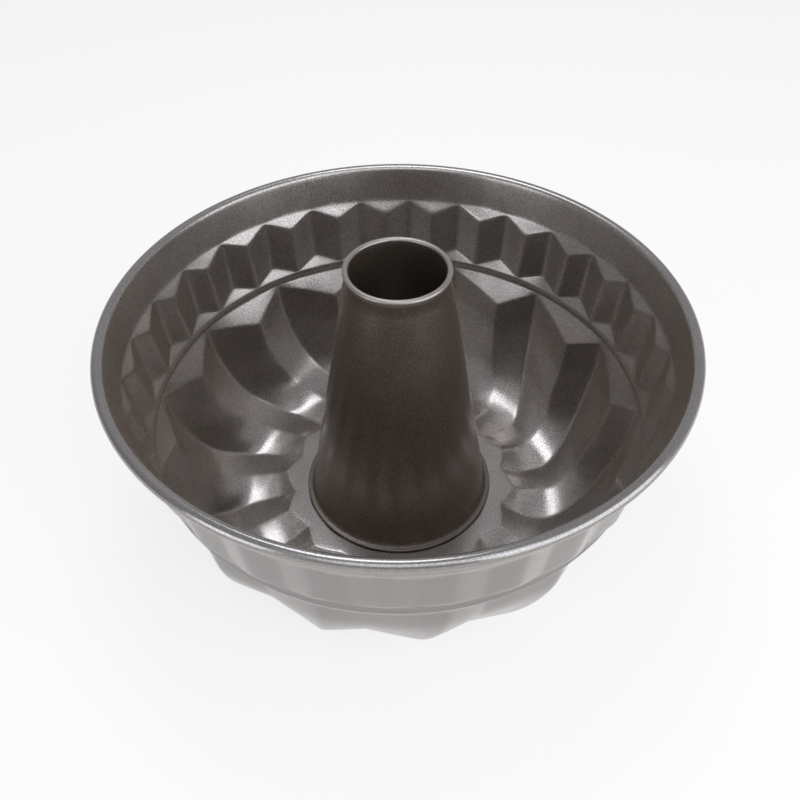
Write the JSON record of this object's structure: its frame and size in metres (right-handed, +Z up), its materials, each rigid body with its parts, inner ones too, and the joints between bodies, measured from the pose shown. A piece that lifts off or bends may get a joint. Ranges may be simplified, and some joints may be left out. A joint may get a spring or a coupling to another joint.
{
  "type": "gugelhupf pan",
  "caption": "Round coated-steel ring cake pan with a rolled rim, a band of straight flutes, a dish of twisted flutes and a tapered open centre tube.",
  "frame": {"origin": "on the tube's axis, on the surface that the pan stands on", "axes": "+Z up along the tube's axis, out of the open top; +X to the right and +Y to the back as seen in the picture"},
  "size_m": [0.2198, 0.2198, 0.1187],
  "materials": {
    "shell_coating": "satin dark warm grey non-stick coating with a fine metallic speckle",
    "tube_coating": "satin dark warm grey non-stick coating with a fine metallic speckle"
  },
  "bodies": {
    "root": {"pan_shell": "shell_coating", "centre_tube": "tube_coating"}
  },
  "joints": []
}
